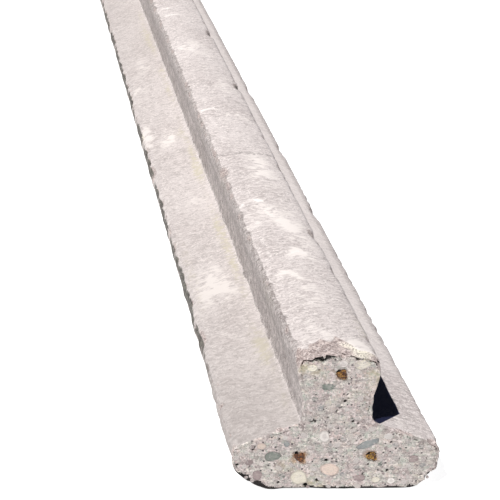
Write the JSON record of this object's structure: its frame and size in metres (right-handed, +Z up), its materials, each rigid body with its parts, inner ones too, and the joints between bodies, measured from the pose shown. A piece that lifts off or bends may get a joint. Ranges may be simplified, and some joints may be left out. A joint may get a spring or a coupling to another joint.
{
  "type": "prestressed concrete floor beam",
  "caption": "Short inverted-T precast concrete beam with a wide flange, narrow waist and crowned head, with twisted steel strands and gravel showing in its sawn ends.",
  "frame": {"origin": "middle of the underside of the beam's box, on the surface it lies on", "axes": "+Y along the beam towards its square-sawn end, +X across it, +Z up from the underside to the crown"},
  "size_m": [0.12, 1.2, 0.095],
  "materials": {
    "concrete": "matte",
    "white_quartz": "matte",
    "cream_limestone": "matte",
    "pink_granite": "matte",
    "green_grey_stone": "matte",
    "blue_slate": "matte",
    "mauve_sandstone": "matte",
    "strand_steel": "satin"
  },
  "bodies": {
    "root": {"concrete_body": "concrete", "near_white_quartz_pebbles": "white_quartz", "far_white_quartz_pebbles": "white_quartz", "near_cream_limestone_pebbles": "cream_limestone", "far_cream_limestone_pebbles": "cream_limestone", "near_pink_granite_pebbles": "pink_granite", "far_pink_granite_pebbles": "pink_granite", "near_green_grey_pebbles": "green_grey_stone", "far_green_grey_pebbles": "green_grey_stone", "near_blue_slate_pebbles": "blue_slate", "far_blue_slate_pebbles": "blue_slate", "near_mauve_sandstone_pebbles": "mauve_sandstone", "far_mauve_sandstone_pebbles": "mauve_sandstone", "lower_left_strand_wire_1": "strand_steel", "lower_left_strand_wire_2": "strand_steel", "lower_left_strand_wire_3": "strand_steel", "lower_right_strand_wire_1": "strand_steel", "lower_right_strand_wire_2": "strand_steel", "lower_right_strand_wire_3": "strand_steel", "upper_strand_wire_1": "strand_steel", "upper_strand_wire_2": "strand_steel", "upper_strand_wire_3": "strand_steel"}
  },
  "joints": []
}
